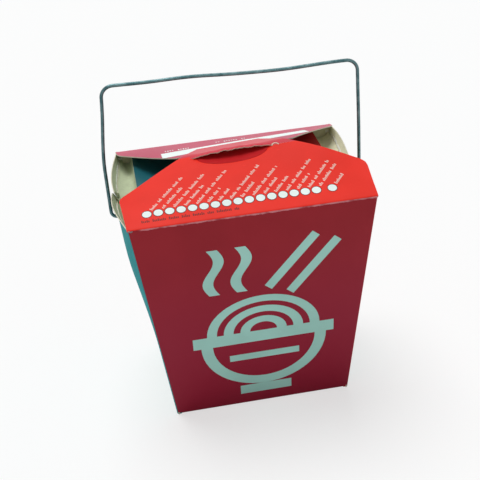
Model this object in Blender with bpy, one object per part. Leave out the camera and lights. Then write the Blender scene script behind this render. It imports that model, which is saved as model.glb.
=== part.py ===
"""Noodle takeaway box: a folded board pail, shut, with a wire bail.

Frame: metres, +Z up, the origin at the middle of the base, the front panel facing -Y.
The shut carton is one solid. It has tapered walls, two folded gussets on each side whose
tops stand open as pockets, and a low gable of a front flap locked by the rear flap's tongue.
The bail is a second solid that turns in two holes in the sides.
"""

import math

import bmesh
import bpy
from mathutils import Vector

MM = 0.001

# Driving sizes, in millimetres
RIM_WIDTH = 104.0        # across the front panel's top crease
RIM_DEPTH = 80.0
BASE_WIDTH = 82.0
BASE_DEPTH = 56.0
RIM_HEIGHT = 106.0
BOARD = 0.8              # plate thickness of a flap and of a gusset's outer ply
CORNER_RADIUS = 1.2      # at the upright creases

RIDGE_Y = 2.4            # the gable's ridge, just behind the slit
RIDGE_Z = 117.0
FRONT_CROWN = 1.0        # how far the front flap swells above its chord
MINOR_FLAP_DROP = 1.2    # the minor flaps lie this far below the rim
TRAY_INSET = 0.9         # and start this far inside the side creases

GUSSET_STEP = 1.3        # two plies of board on the side wall
SIDE_MIDDLE = -2.0       # where the front and the rear gusset meet, and the bail's axis
SIDE_CREASE = {"left": -45.0, "right": 42.0}
POCKET_DEPTH = 22.0
POCKET_WEB = 2.6         # a pocket stops this far from the gusset's two folds
WAIST_DEPTH = 8.0        # the trough's depth at the side's middle, above the bail's hole

WIRE = 1.5
WIRE_GAP = 0.3
BAIL_Z = 94.0
BAIL_RISE = 58.5
LEFT_EXTRA = 1.6         # the bail's left corner stands this much higher

WALL_LEVELS = 10


def lerp(a, b, t):
    return a + (b - a) * t


def smooth(t):
    t = min(max(t, 0.0), 1.0)
    return t * t * (3.0 - 2.0 * t)


def add_object(name, mesh_data, material):
    """Put a bmesh into the scene as a named object."""
    mesh = bpy.data.meshes.new(name)
    bmesh.ops.recalc_face_normals(mesh_data, faces=mesh_data.faces)
    mesh_data.to_mesh(mesh)
    mesh_data.free()
    obj = bpy.data.objects.new(name, mesh)
    bpy.context.scene.collection.objects.link(obj)
    if material is not None:
        mesh.materials.append(material)
    return obj


def loft(rings):
    """A closed solid through rings of points that have equal counts."""
    bm = bmesh.new()
    rows = [[bm.verts.new(Vector(p) * MM) for p in ring] for ring in rings]
    count = len(rows[0])
    for low, high in zip(rows, rows[1:]):
        for i in range(count):
            j = (i + 1) % count
            bm.faces.new((low[i], low[j], high[j], high[i]))
    bm.faces.new(list(reversed(rows[0])))
    bm.faces.new(rows[-1])
    bmesh.ops.triangulate(bm, faces=[f for f in bm.faces if len(f.verts) > 4])
    return bm


def material(name, colour, roughness, metallic=0.0):
    mat = bpy.data.materials.new(name)
    mat.use_nodes = True
    shader = mat.node_tree.nodes["Principled BSDF"]
    shader.inputs["Base Color"].default_value = (*colour, 1.0)
    shader.inputs["Roughness"].default_value = roughness
    shader.inputs["Metallic"].default_value = metallic
    return mat


# ---- the carton's walls -----------------------------------------------------------------

def half_width(z):
    return lerp(BASE_WIDTH, RIM_WIDTH, z / RIM_HEIGHT) / 2


def half_depth(z):
    return lerp(BASE_DEPTH, RIM_DEPTH, z / RIM_HEIGHT) / 2


GUSSET_STEPS = 8
# How far each gusset's top swells out at its middle, and moves out at its nose
SWELL = {("front", "left"): 3.7, ("rear", "left"): 3.0, ("front", "right"): 1.8, ("rear", "right"): 2.3}
NOSE_SHIFT = {"left": 1.0, "right": -2.8}


def bulge(end, side, t, z):
    """How far a gusset stands out at height z, from its upright crease (t=0) to its nose (t=1)."""
    swell = SWELL[(end, side)] * math.sin(math.pi * 0.72 * t) + NOSE_SHIFT[side] * smooth(t)
    return swell * smooth((z / RIM_HEIGHT - 0.25) / 0.75)


def gusset_span(end, z):
    """The y of a gusset's upright crease and of its folded free edge at height z."""
    sign = -1.0 if end == "front" else 1.0
    crease = sign * (half_depth(z) - CORNER_RADIUS)
    foot = sign * (BASE_DEPTH / 2 - 2.0)
    top = SIDE_MIDDLE + sign * 0.8
    return crease, lerp(foot, top, z / RIM_HEIGHT)


def gusset_line(end, side, z):
    crease, edge = gusset_span(end, z)
    steps = [i / GUSSET_STEPS for i in range(GUSSET_STEPS + 1)]
    return [(half_width(z) + bulge(end, side, t, z), lerp(crease, edge, t)) for t in steps]


def side_outline(z, left):
    """Points up one side at height z, from the front upright crease to the rear one."""
    side = "left" if left else "right"
    wall_x = half_width(z) - GUSSET_STEP * smooth(z / RIM_HEIGHT * 6.0)
    front = gusset_line("front", side, z)
    rear = gusset_line("rear", side, z)
    wall = [(wall_x, front[-1][1] + 0.15), (wall_x, rear[-1][1] - 0.15)]
    points = front + wall + list(reversed(rear))
    sign = -1.0 if left else 1.0
    return [(sign * x, y) for x, y in points]


def wall_ring(z):
    """The carton's outline at height z, counter-clockwise seen from above."""
    right = side_outline(z, left=False)
    left = list(reversed(side_outline(z, left=True)))
    rear = [(half_width(z) - CORNER_RADIUS, half_depth(z)), (-half_width(z) + CORNER_RADIUS, half_depth(z))]
    front = [(-half_width(z) + CORNER_RADIUS, -half_depth(z)), (half_width(z) - CORNER_RADIUS, -half_depth(z))]
    return [(x, y, z) for x, y in right + rear + left + front]


def build_walls(mat):
    levels = [RIM_HEIGHT * (i / WALL_LEVELS) for i in range(WALL_LEVELS + 1)]
    return add_object("carton", loft([wall_ring(z) for z in levels]), mat)


# ---- the gusset pockets -----------------------------------------------------------------

POCKET_PLACES = [i / GUSSET_STEPS for i in range(GUSSET_STEPS + 1)]


def pocket_ring(z, end, side, squeeze):
    """A lens between the side wall and a gusset's outer ply, narrowed by squeeze from 0 to 1."""
    crease_x = abs(SIDE_CREASE[side]) - (half_width(RIM_HEIGHT) - half_width(z))
    outer = []
    inner = []
    for t, (x, y) in zip(POCKET_PLACES, pocket_line(end, side, z)):
        ply = x - BOARD
        lens = math.sin(math.pi * lerp(0.12, 0.88, t)) ** 0.5
        hollow = (ply - crease_x) * lens * (1.0 - 0.75 * squeeze)
        outer.append((ply, y))
        inner.append((ply - max(hollow, 0.8), y))
    sign = -1.0 if side == "left" else 1.0
    return [(sign * x, y, z) for x, y in outer + list(reversed(inner))]


def pocket_line(end, side, z):
    """The gusset's outer face along the pocket, which stops short of both its ends."""
    crease, edge = gusset_span(end, z)
    sign = -1.0 if end == "front" else 1.0
    start = crease - sign * POCKET_WEB
    stop = edge + sign * POCKET_WEB
    line = []
    for place in POCKET_PLACES:
        y = lerp(start, stop, place)
        line.append((half_width(z) + bulge(end, side, (y - crease) / (edge - crease), z), y))
    return line


def build_pocket(end, side):
    """A cutter that reaches above the rim by going straight up from the rim's own outline."""
    levels = [(POCKET_DEPTH, 1.0), (POCKET_DEPTH / 2, 0.55), (1.5, 0.05), (0.0, 0.0)]
    rings = [pocket_ring(RIM_HEIGHT - depth, end, side, squeeze) for depth, squeeze in levels]
    rings.append([(x, y, z + 2.0) for x, y, z in rings[-1]])
    return add_object(f"pocket_cutter_{end}_{side}", loft(rings), None)


def build_waist(side):
    """A shallow cutter above the bail's hole that joins a side's two pockets into one trough."""
    reach = 2.0 * POCKET_WEB + 0.8
    rings = []
    for depth, inset in ((WAIST_DEPTH, 1.6), (WAIST_DEPTH * 0.6, 0.6), (0.0, 0.0), (-2.0, 0.0)):
        z = RIM_HEIGHT - max(depth, 0.0)
        outer_x = half_width(z) + bulge("front", side, 1.0, z) - BOARD - inset
        inner_x = abs(SIDE_CREASE[side]) - (half_width(RIM_HEIGHT) - half_width(z)) + 1.0 + inset
        front_y = SIDE_MIDDLE - reach
        rear_y = SIDE_MIDDLE + reach
        ring = [(inner_x, front_y), (outer_x, front_y), (outer_x, rear_y), (inner_x, rear_y)]
        sign = -1.0 if side == "left" else 1.0
        rings.append([(sign * x, y, RIM_HEIGHT - depth) for x, y in ring])
    return add_object(f"waist_cutter_{side}", loft(rings), None)


# ---- the gable --------------------------------------------------------------------------

CHORD = math.hypot(RIDGE_Y + RIM_DEPTH / 2, RIDGE_Z - RIM_HEIGHT)
REAR_RUN = math.hypot(RIM_DEPTH / 2 - RIDGE_Y, RIDGE_Z - RIM_HEIGHT)
FRONT_STRIP = 12.5       # the front flap's strip behind the slit, lying on the rear flap
LIP = 5.6                # how far the strip's free edge at the slit reaches in front of the ridge
LIP_RISE = 9.0           # degrees, its slope towards the front, where the tongue holds it up
LIP_LIFT = 0.25          # its underside at the ridge, above the rear flap's underside
LAP = 0.8                # boards that lie on each other share a fifth of their thickness
LIP_LEFT, LIP_RIGHT = -19.8, 15.6
LIP_ROOT = -1.5          # the lip starts behind the ridge, inside the strip
LIP_TAPER = 2.0
LIP_STEPS = 7


def front_profile(v):
    """Side view of the front flap at distance v from its crease: (y, z)."""
    if v <= CHORD:
        t = v / CHORD
        y = lerp(-RIM_DEPTH / 2, RIDGE_Y, t)
        z = lerp(RIM_HEIGHT, RIDGE_Z, t) + FRONT_CROWN * 4.0 * t * (1.0 - t)
        return y, z
    y, z = rear_profile(REAR_RUN - (v - CHORD))
    return y, z + LAP * BOARD


def rear_profile(v):
    """Side view of the rear flap at distance v from its crease: (y, z)."""
    t = v / REAR_RUN
    return lerp(RIM_DEPTH / 2, RIDGE_Y, t), lerp(RIM_HEIGHT, RIDGE_Z, t)


def lip_profile(run):
    """Side view of the raised lip at distance run in front of the ridge: (y, z)."""
    slope = math.radians(LIP_RISE)
    return RIDGE_Y - run * math.cos(slope), RIDGE_Z + LIP_LIFT + run * math.sin(slope)


def widths_at(v, outline):
    """Left and right edge of a flap at distance v, from an outline of (v, left, right) rows."""
    for (v0, l0, r0), (v1, l1, r1) in zip(outline, outline[1:]):
        if v <= v1:
            t = (v - v0) / (v1 - v0)
            return lerp(l0, l1, t), lerp(r0, r1, t)
    return outline[-1][1], outline[-1][2]


FRONT_OUTLINE = [(0.0, -51.9, 51.9), (19.5, -53.3, 52.6), (22.5, -50.5, 51.6), (CHORD - 0.5, -23.0, 22.0),
                 (CHORD + FRONT_STRIP, -14.5, 12.3)]
REAR_OUTLINE = [(0.0, -51.9, 52.0), (12.0, -50.9, 49.0), (REAR_RUN, -26.0, 25.0)]
INSET = 13.0             # the gable's filled middle stays this far inside the flaps' edges
CORE_LEFT, CORE_RIGHT = -38.0, 36.0
CREASE_ROOT = 0.6        # how deep a flap is rooted in its wall
CREASE_INSET = 0.12


def plate(name, rows, profile, root_depth=0.0):
    """A bent plate: rows are (v, left, right), profile gives (y, z) of its underside.

    A root_depth sinks the first row into the wall, just inside the wall's face.
    """
    rings = []
    for v, left, right in rows:
        y, z = profile(v)
        low = z
        if v == 0.0 and root_depth > 0.0:
            y -= math.copysign(CREASE_INSET, y)
            low = z - root_depth
        rings.append([(left, y, low), (right, y, low), (right, y, z + BOARD), (left, y, z + BOARD)])
    return add_object(name, loft(rings), None)


def rows_for(outline, start, stop, steps):
    marks = {start + (stop - start) * i / steps for i in range(steps + 1)}
    marks |= {v for v, _, _ in outline if start < v < stop}
    ordered = sorted(marks)
    kept = [ordered[0]] + [b for a, b in zip(ordered, ordered[1:]) if b - a > 0.4]
    return [(v, *widths_at(v, outline)) for v in kept]


def build_front_flap():
    rows = rows_for(FRONT_OUTLINE, 0.0, CHORD, 9) + rows_for(FRONT_OUTLINE, CHORD + 1.0, CHORD + FRONT_STRIP, 3)
    return plate("front_flap", rows, front_profile, CREASE_ROOT)


def build_rear_flap():
    return plate("rear_flap", rows_for(REAR_OUTLINE, 0.0, REAR_RUN, 5), rear_profile, CREASE_ROOT)


def build_lip():
    """The slit's rear edge, bowed up and forward by the rear flap's tongue under it."""
    rows = [(LIP_ROOT, LIP_LEFT + LIP_TAPER, LIP_RIGHT - LIP_TAPER)]
    for i in range(1, LIP_STEPS + 1):
        t = i / LIP_STEPS * 0.97
        bow = math.sqrt(1.0 - t * t)
        rows.append((LIP * t, LIP_LEFT * bow, LIP_RIGHT * bow))
    return plate("lip", rows, lip_profile)


def build_gable_core():
    """The filled middle under both flaps, out of sight behind their overhanging edges."""
    floor = RIM_HEIGHT - MINOR_FLAP_DROP - 1.0
    rings = []
    for i in range(9):
        y = lerp(-RIM_DEPTH / 2 + 0.6, RIDGE_Y, i / 8)
        v = (y + RIM_DEPTH / 2) / (RIDGE_Y + RIM_DEPTH / 2) * CHORD
        left, right = widths_at(v, FRONT_OUTLINE)
        rings.append((y, front_profile(v)[1] + BOARD / 2, left + INSET, right - INSET))
    for i in range(1, 6):
        y = lerp(RIDGE_Y, RIM_DEPTH / 2 - 0.6, i / 5)
        v = REAR_RUN * (RIM_DEPTH / 2 - y) / (RIM_DEPTH / 2 - RIDGE_Y)
        left, right = widths_at(v, REAR_OUTLINE)
        core_left, core_right = max(left + INSET, CORE_LEFT), min(right - INSET, CORE_RIGHT)
        rings.append((y, rear_profile(v)[1] + BOARD / 2, core_left, core_right))
    shape = [[(l, y, floor), (r, y, floor), (r, y, top), (l, y, top)] for y, top, l, r in rings]
    return add_object("gable_core", loft(shape), None)


def build_tray_cutter():
    """Takes the walls' top down to the minor flaps between the two side creases."""
    floor = RIM_HEIGHT - MINOR_FLAP_DROP
    front = -RIM_DEPTH / 2 + 1.0
    rear = RIM_DEPTH / 2 - 1.0
    left, right = SIDE_CREASE["left"] + TRAY_INSET, SIDE_CREASE["right"] - TRAY_INSET
    ring = [(left, front), (right, front), (right, rear), (left, rear)]
    return add_object("tray_cutter", loft([[(x, y, z) for x, y in ring] for z in (floor, RIM_HEIGHT + 5.0)]), None)


# ---- the bail ---------------------------------------------------------------------------

LEFT_LEG = -57.6
RIGHT_LEG = 54.6
LEFT_SHOULDER = -54.6
RIGHT_SHOULDER = 54.2
BEND = 2.6               # radius of the wire's bend at each hole
SHOULDER = 5.0           # radius of the bail's top corners
PIN_LENGTH = 7.0


def arc(centre, start, stop, radius, steps):
    """Points on an arc in the XZ plane; the angles are in degrees."""
    points = []
    for i in range(steps + 1):
        a = math.radians(lerp(start, stop, i / steps))
        points.append((centre[0] + radius * math.cos(a), centre[1] + radius * math.sin(a)))
    return points


def leg_line(foot, shoulder, low, high, steps):
    """A leg that keeps to its foot's x past the gussets and then leans in to the shoulder."""
    points = []
    for i in range(1, steps):
        z = lerp(low, high, i / steps)
        lean = smooth((z - BAIL_Z - 22.0) / (BAIL_RISE - 22.0))
        points.append((lerp(foot, shoulder, lean), z))
    return points


def bail_route():
    top = BAIL_Z + BAIL_RISE
    left_top = top + LEFT_EXTRA
    route = [(LEFT_LEG + BEND + PIN_LENGTH, BAIL_Z), (LEFT_LEG + BEND + 2.0, BAIL_Z)]
    route += arc((LEFT_LEG + BEND, BAIL_Z + BEND), 270, 180, BEND, 5)
    route += leg_line(LEFT_LEG, LEFT_SHOULDER, BAIL_Z + BEND, left_top - SHOULDER, 12)
    route += arc((LEFT_SHOULDER + SHOULDER, left_top - SHOULDER), 180, 90, SHOULDER, 6)
    for i in range(1, 20):
        t = i / 20
        x = lerp(LEFT_SHOULDER + SHOULDER, RIGHT_SHOULDER - SHOULDER, t)
        sag = 1.5 * math.exp(-((t - 0.72) / 0.16) ** 2) + 0.3 * math.sin(5.0 * math.pi * t)
        route.append((x, lerp(left_top, top, t) - sag * math.sin(math.pi * t)))
    route += arc((RIGHT_SHOULDER - SHOULDER, top - SHOULDER), 90, 0, SHOULDER, 6)
    right = leg_line(RIGHT_LEG, RIGHT_SHOULDER, BAIL_Z + BEND, top - SHOULDER, 12)
    route += list(reversed(right))
    route += arc((RIGHT_LEG - BEND, BAIL_Z + BEND), 0, -90, BEND, 5)
    route += [(RIGHT_LEG - BEND - 2.0, BAIL_Z), (RIGHT_LEG - BEND - PIN_LENGTH, BAIL_Z)]
    return route


def build_bail(mat):
    """The wire, drawn round its own axis: the object's origin lies on the hinge line."""
    curve = bpy.data.curves.new("bail", "CURVE")
    curve.dimensions = "3D"
    curve.bevel_depth = WIRE / 2 * MM
    curve.bevel_resolution = 2
    curve.use_fill_caps = True
    spline = curve.splines.new("POLY")
    route = bail_route()
    spline.points.add(len(route) - 1)
    for point, (x, z) in zip(spline.points, route):
        point.co = (x * MM, 0.0, (z - BAIL_Z) * MM, 1.0)
    obj = bpy.data.objects.new("bail", curve)
    obj.location = (0.0, SIDE_MIDDLE * MM, BAIL_Z * MM)
    curve.materials.append(mat)
    bpy.context.scene.collection.objects.link(obj)
    return obj


def build_hole_cutter(side):
    radius = WIRE / 2 + WIRE_GAP
    foot = LEFT_LEG if side == "left" else RIGHT_LEG
    sign = math.copysign(1.0, foot)
    inner = abs(foot) - BEND - PIN_LENGTH - WIRE_GAP
    outer = RIM_WIDTH
    turns = [2.0 * math.pi * i / 16 for i in range(16)]
    rings = [[(sign * x, SIDE_MIDDLE + radius * math.cos(a), BAIL_Z + radius * math.sin(a)) for a in turns]
             for x in (inner, outer)]
    return add_object(f"hole_cutter_{side}", loft(rings), None)


# ---- assembly ---------------------------------------------------------------------------

def apply_boolean(target, tool, operation):
    """Combine the tool into the target and remove the tool."""
    modifier = target.modifiers.new(operation.lower(), "BOOLEAN")
    modifier.operation = operation
    modifier.solver = "EXACT"
    modifier.object = tool
    bpy.context.view_layer.update()
    graph = bpy.context.evaluated_depsgraph_get()
    mesh = bpy.data.meshes.new_from_object(target.evaluated_get(graph))
    target.modifiers.clear()
    old = target.data
    target.data = mesh
    bpy.data.meshes.remove(old)
    bpy.data.objects.remove(tool)


def main():
    for obj in list(bpy.data.objects):
        bpy.data.objects.remove(obj)
    board = material("printed_board", (0.60, 0.03, 0.03), 0.35)
    wire = material("steel_wire", (0.18, 0.20, 0.21), 0.35, 1.0)

    carton = build_walls(board)
    apply_boolean(carton, build_tray_cutter(), "DIFFERENCE")
    for side in ("left", "right"):
        for end in ("front", "rear"):
            apply_boolean(carton, build_pocket(end, side), "DIFFERENCE")
        apply_boolean(carton, build_waist(side), "DIFFERENCE")
        apply_boolean(carton, build_hole_cutter(side), "DIFFERENCE")
    for build in (build_gable_core, build_front_flap, build_rear_flap, build_lip):
        apply_boolean(carton, build(), "UNION")
    build_bail(wire)


main()
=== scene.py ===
# %% [markdown]
# A noodle takeaway box: one sheet of printed board folded into a tapered pail, and a wire bail.
# The real box is cut flat, creased and folded, so the lesson works in the same order: cut a flat
# card, fold it, give it thickness, print it, and hang the wire on it last.

# %% Load the frame
import math
from bisect import bisect_right

import bpy
from mathutils import Matrix, Vector


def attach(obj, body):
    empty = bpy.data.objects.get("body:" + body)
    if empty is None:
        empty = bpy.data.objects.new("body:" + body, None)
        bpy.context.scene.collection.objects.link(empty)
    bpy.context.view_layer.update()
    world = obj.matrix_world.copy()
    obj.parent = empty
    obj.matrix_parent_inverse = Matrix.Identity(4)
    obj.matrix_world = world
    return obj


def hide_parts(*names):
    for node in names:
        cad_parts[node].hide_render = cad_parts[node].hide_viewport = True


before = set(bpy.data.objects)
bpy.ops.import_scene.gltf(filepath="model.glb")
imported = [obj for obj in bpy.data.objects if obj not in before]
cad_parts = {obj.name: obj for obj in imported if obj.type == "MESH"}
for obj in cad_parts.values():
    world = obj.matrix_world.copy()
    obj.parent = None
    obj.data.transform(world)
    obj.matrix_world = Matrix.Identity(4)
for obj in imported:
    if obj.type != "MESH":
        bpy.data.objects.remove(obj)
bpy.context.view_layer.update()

# %% [markdown]
# The box is drawn in millimetres, as a box maker would, and stored in metres. These are the folded
# pail's sizes, the same as the solid model's.

# %% The pail's sizes
MM = 0.001
RIM_WIDTH, RIM_DEPTH = 104.0, 80.0
BASE_WIDTH, BASE_DEPTH = 82.0, 56.0
RIM_HEIGHT = 106.0
CORNER_RADIUS = 1.2
RIDGE_Y, RIDGE_Z = 2.4, 117.0
SHEET = 0.45             # thickness of the board
SIDE_MIDDLE = -2.0       # the two gussets of a side meet here, and the bail turns here
SIDE_CREASE = {"left": 45.0, "right": 42.0}
SIGN = {"left": -1.0, "right": 1.0, "front": -1.0, "rear": 1.0}


def lerp(a, b, t):
    return a + (b - a) * t


def smooth(t):
    t = min(max(t, 0.0), 1.0)
    return t * t * (3.0 - 2.0 * t)


def half_width(z):
    return lerp(BASE_WIDTH, RIM_WIDTH, z / RIM_HEIGHT) / 2


def half_depth(z):
    return lerp(BASE_DEPTH, RIM_DEPTH, z / RIM_HEIGHT) / 2


def select_nothing():
    """An operator acts on all that is selected, so each step starts with nothing selected."""
    bpy.ops.object.select_all(action="DESELECT")


print("rim", RIM_WIDTH, "x", RIM_DEPTH, "mm, base", BASE_WIDTH, "x", BASE_DEPTH, "mm")

# %% [markdown]
# The camera looks down on the box from the front and a little from its left. It is placed first,
# so that every later step can be judged in the picture that matters.

# %% Camera
CAMERA_PLACE = Vector((-51.5, -379.9, 291.2)) * MM
CAMERA_AIM = Vector((-1.5, 0.0, 72.0)) * MM
CAMERA_ROLL = math.radians(-4.5)
CAMERA_LENS = 72.0

select_nothing()
bpy.ops.object.camera_add(location=CAMERA_PLACE)
camera = bpy.context.object
camera.name = "camera"
camera.data.lens = CAMERA_LENS
camera.data.clip_start = 0.01
look = (CAMERA_AIM - CAMERA_PLACE).to_track_quat("-Z", "Y").to_matrix()
camera.rotation_euler = (look @ Matrix.Rotation(CAMERA_ROLL, 3, "Z")).to_euler()
bpy.context.scene.camera = camera
print("camera", round((CAMERA_AIM - CAMERA_PLACE).length, 3), "m from the box, lens", CAMERA_LENS)

# %% [markdown]
# A finish is a small net of nodes. Each helper adds one kind of node and hands back its output.

# %% Node helpers
def add_node(material, kind):
    return material.node_tree.nodes.new(kind)


def join(material, output, socket):
    material.node_tree.links.new(output, socket)


def new_material(name):
    """A new node material and its shader."""
    material = bpy.data.materials.new(name)
    material.use_nodes = True
    return material, material.node_tree.nodes["Principled BSDF"]


def noise(material, scale, detail, vector=None):
    node = add_node(material, "ShaderNodeTexNoise")
    node.inputs["Scale"].default_value = scale
    node.inputs["Detail"].default_value = detail
    node.inputs["Roughness"].default_value = 0.6
    if vector is None:
        place = add_node(material, "ShaderNodeTexCoord")
        vector = place.outputs["Object"]
    join(material, vector, node.inputs["Vector"])
    return node.outputs["Fac"]


def mix_colour(material, factor, first, second):
    """Mixes two colours by a mask; each colour is a tuple or another node's output."""
    node = add_node(material, "ShaderNodeMix")
    node.data_type = "RGBA"
    join(material, factor, node.inputs["Factor"])
    for socket, value in ((node.inputs[6], first), (node.inputs[7], second)):
        if isinstance(value, tuple):
            socket.default_value = (*value, 1.0)
        else:
            join(material, value, socket)
    return node.outputs[2]


def ramp(material, value, low, high):
    """Stretches a value so that low becomes 0 and high becomes 1."""
    node = add_node(material, "ShaderNodeMapRange")
    node.interpolation_type = "SMOOTHSTEP"
    node.inputs["From Min"].default_value = low
    node.inputs["From Max"].default_value = high
    join(material, value, node.inputs["Value"])
    return node.outputs["Result"]


def add_bump(material, shader, height, strength, distance):
    node = add_node(material, "ShaderNodeBump")
    node.inputs["Strength"].default_value = strength
    node.inputs["Distance"].default_value = distance
    join(material, height, node.inputs["Height"])
    join(material, node.outputs["Normal"], shader.inputs["Normal"])


def maths(material, operation, first, second=0.0, third=None):
    """A sum on numbers or outputs."""
    node = add_node(material, "ShaderNodeMath")
    node.operation = operation
    for socket, value in zip(node.inputs, (first, second, third)):
        if value is None:
            continue
        if isinstance(value, float):
            socket.default_value = value
        else:
            join(material, value, socket)
    return node.outputs[0]


print("node helpers ready")

# %% [markdown]
# The light is a broad soft sun from above and a little behind, as under a studio ceiling. The lid
# is bright, the front panel is in its own shade, and the floor keeps a soft shadow.

# %% Light
SUN_STRENGTH = 2.15
SUN_SOFTNESS = math.radians(38.0)
SUN_TURN = (math.radians(-16.0), math.radians(-8.0), 0.0)

bpy.ops.object.light_add(type="SUN", location=(0.0, 0.0, 1.0))
sun = bpy.context.object
sun.name = "ceiling_light"
sun.data.energy = SUN_STRENGTH
sun.data.angle = SUN_SOFTNESS
sun.rotation_euler = SUN_TURN
print("sun", SUN_STRENGTH)

# %% [markdown]
# Matt surfaces get a weak surround, which keeps the colours as deep as they were mixed. The camera,
# and anything glossy or clear, sees plain white.

# %% Surround
SURROUND = 0.34          # what the surround gives to matt surfaces
BACKDROP = 1.0           # what the camera and reflections see of it

world = bpy.data.worlds.new("surround")
bpy.context.scene.world = world
world.use_nodes = True
nodes, links = world.node_tree.nodes, world.node_tree.links
nodes.clear()
ray = nodes.new("ShaderNodeLightPath")
seen = maths(world, "MAXIMUM", ray.outputs["Is Camera Ray"], ray.outputs["Is Transmission Ray"])
seen = maths(world, "MAXIMUM", seen, ray.outputs["Is Glossy Ray"])
mix = nodes.new("ShaderNodeMixShader")
links.new(seen, mix.inputs[0])
for socket, strength in ((mix.inputs[1], SURROUND), (mix.inputs[2], BACKDROP)):
    plain = nodes.new("ShaderNodeBackground")
    plain.inputs["Color"].default_value = (1.0, 1.0, 1.0, 1.0)
    plain.inputs["Strength"].default_value = strength
    links.new(plain.outputs[0], socket)
out = nodes.new("ShaderNodeOutputWorld")
links.new(mix.outputs[0], out.inputs["Surface"])
bpy.context.scene.view_settings.view_transform = "Standard"
print("surround", SURROUND, "on matt surfaces,", BACKDROP, "to the camera")

# %% [markdown]
# The floor is a large plain sheet. Its colour is close to white, and it takes the box's shadow.

# %% Floor
FLOOR_SIZE = 6.0
FLOOR_WHITE = 0.62       # the share of plain white that the camera sees in it

bpy.ops.mesh.primitive_grid_add(x_subdivisions=4, y_subdivisions=4, size=FLOOR_SIZE)
floor = bpy.context.object
floor.name = "floor"

floor_paint, shader = new_material("floor_paper")
shader.inputs["Base Color"].default_value = (0.93, 0.94, 0.94, 1.0)
shader.inputs["Roughness"].default_value = 0.9
shader.inputs["Specular IOR Level"].default_value = 0.1
nodes, links = floor_paint.node_tree.nodes, floor_paint.node_tree.links
ray = nodes.new("ShaderNodeLightPath")
white = nodes.new("ShaderNodeEmission")
mix = nodes.new("ShaderNodeMixShader")
links.new(maths(floor_paint, "MULTIPLY", ray.outputs["Is Camera Ray"], FLOOR_WHITE), mix.inputs[0])
links.new(shader.outputs[0], mix.inputs[1])
links.new(white.outputs[0], mix.inputs[2])
links.new(mix.outputs[0], nodes["Material Output"].inputs["Surface"])
floor.data.materials.append(floor_paint)
print("floor", FLOOR_SIZE, "m")

# %% [markdown]
# Board is printed with ink on one side and is bare cream pulp on the other. Each ink is the same
# recipe: a colour that drifts a little where the ink lies thicker, a faint mottle, an uneven sheen,
# and the fibres of the board showing through as a very fine bump.

# %% Ink on board
DRIFT_SCALE, FIBRE_SCALE, SHEEN_SCALE = 38.0, 900.0, 60.0
SHEEN_SPREAD = 0.25      # how far the roughness varies
INK_BUMP, FIBRE_DEPTH = 0.12, 0.0002


def toned(colour, gain, lift):
    """The same colour, stronger or weaker."""
    return tuple(min(c * gain + lift, 1.0) for c in colour)


def board_ink(name, colour, gloss=0.3, specular=0.3, worn=None):
    """Ink on board. The last argument is a function that adds its own wear, and any painted shade, to the
    colour.
    """
    material, shader = new_material(name)
    thick, thin = toned(colour, 0.95, 0.0), toned(colour, 1.05, 0.002)
    drift = mix_colour(material, ramp(material, noise(material, DRIFT_SCALE, 2.0), 0.3, 0.7), thick, thin)
    fibre = noise(material, FIBRE_SCALE, 3.0)
    mottle = mix_colour(material, ramp(material, fibre, 0.62, 0.85), drift, toned(colour, 1.12, 0.01))
    if worn is not None:
        mottle = worn(material, mottle)
    join(material, mottle, shader.inputs["Base Color"])
    uneven = ramp(material, noise(material, SHEEN_SCALE, 3.0), -1.2, 2.6)
    rough = maths(material, "MULTIPLY_ADD", uneven, SHEEN_SPREAD, gloss)
    join(material, rough, shader.inputs["Roughness"])
    shader.inputs["Specular IOR Level"].default_value = specular
    add_bump(material, shader, fibre, INK_BUMP, FIBRE_DEPTH)
    return material


print("ink recipe ready")

# %% [markdown]
# Where board is folded, the ink on the crease rubs off as a pale broken line. The line has to stay
# on the crease, so it is placed by the flat card's own UV map.

# %% Wear along a crease
FLAT = 100.0             # millimetres of card to one unit of its UV map
RAG_SCALE, BREAK_SCALE = 40.0, 11.0


def flat_place(material):
    """The flat card's own place from its UV map: across, along, and both."""
    uv = add_node(material, "ShaderNodeUVMap")
    uv.uv_map = "flat"
    split = add_node(material, "ShaderNodeSeparateXYZ")
    join(material, uv.outputs["UV"], split.inputs[0])
    return split.outputs["X"], split.outputs["Y"], uv.outputs["UV"]


def crease_wear(at, width, strength, colour):
    """A rubbed line along a crease: pale, broken, a little uneven in width."""
    def wear(material, under):
        _, along, uv = flat_place(material)
        away = maths(material, "ABSOLUTE", maths(material, "SUBTRACT", along, at / FLAT))
        ragged = noise(material, RAG_SCALE, 4.0, uv)
        reach = maths(material, "MULTIPLY_ADD", ragged, 2.0 * width / FLAT, -0.3 * width / FLAT)
        line = maths(material, "LESS_THAN", away, reach)
        broken = ramp(material, noise(material, BREAK_SCALE, 3.0, uv), 0.35, 0.55)
        factor = maths(material, "MULTIPLY", maths(material, "MULTIPLY", line, broken), strength)
        return mix_colour(material, factor, under, colour)
    return wear


print("crease wear ready")

# %% [markdown]
# The reds differ: bright on the lid; the panels' deep red, cooler towards the base, is painted shade;
# the rear flap's and the strip's darker pinkish red is painted shade and painted sheen, and the tongue's
# dark red is painted shade.
# The sides are teal, dark red and a pale aqua, and the left minor flap's dark teal is painted shade.

# %% The inks
RUBBED_RED = (0.75, 0.30, 0.33)


def cool_painted_shade_towards_base(colour):
    """Painted shade on a panel: its red turns cooler towards the base, under the wear of the top crease."""
    # This adds the painted shade, cooler towards the base, and the crease's real wear.
    def wear(material, under):
        place = add_node(material, "ShaderNodeTexCoord")
        split = add_node(material, "ShaderNodeSeparateXYZ")
        join(material, place.outputs["Object"], split.inputs[0])
        low = ramp(material, split.outputs["Z"], RIM_HEIGHT * MM, 0.35 * RIM_HEIGHT * MM)
        rubbed = crease_wear(-0.2, 0.6, 0.8, RUBBED_RED)(material, under)
        return mix_colour(material, low, rubbed, colour)
    return wear


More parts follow.
